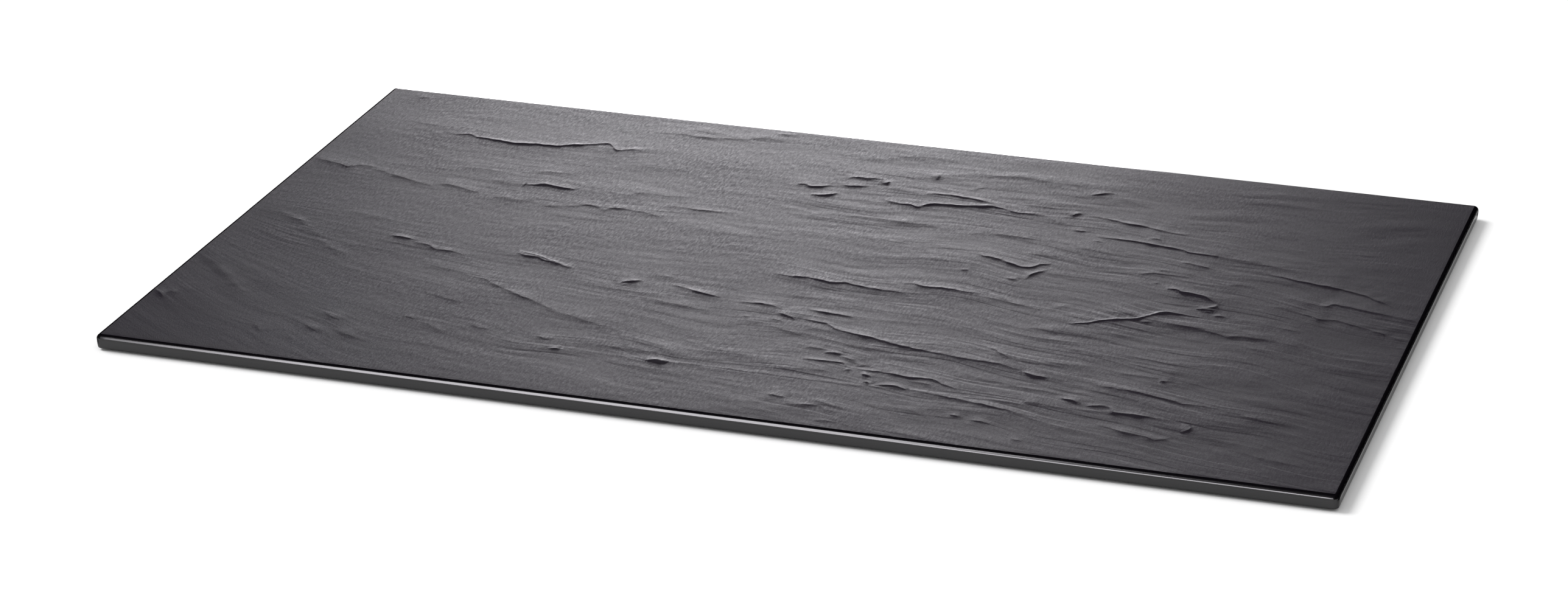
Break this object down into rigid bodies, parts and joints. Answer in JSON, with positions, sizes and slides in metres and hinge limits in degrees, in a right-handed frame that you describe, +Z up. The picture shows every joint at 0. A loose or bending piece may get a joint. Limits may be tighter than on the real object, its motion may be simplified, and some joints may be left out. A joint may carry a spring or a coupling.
{
  "type": "melamine display tray",
  "caption": "Flat rectangular buffet display tray: a riven slate-look melamine board with a smooth rounded edge, standing on small bonded anti-slip feet.",
  "frame": {"origin": "on the table under the centre of the tray, where its feet stand", "axes": "+X along the tray's length to the right seen from the front, +Y to its rear, +Z up"},
  "size_m": [0.53, 0.325, 0.008],
  "materials": {
    "melamine": "matt riven slate face, glossy smooth edge",
    "silicone": "matt"
  },
  "bodies": {
    "root": {"tray_board": "melamine", "foot_front_left": "silicone", "foot_front_middle": "silicone", "foot_front_right": "silicone", "foot_rear_left": "silicone", "foot_rear_middle": "silicone", "foot_rear_right": "silicone"}
  },
  "joints": []
}
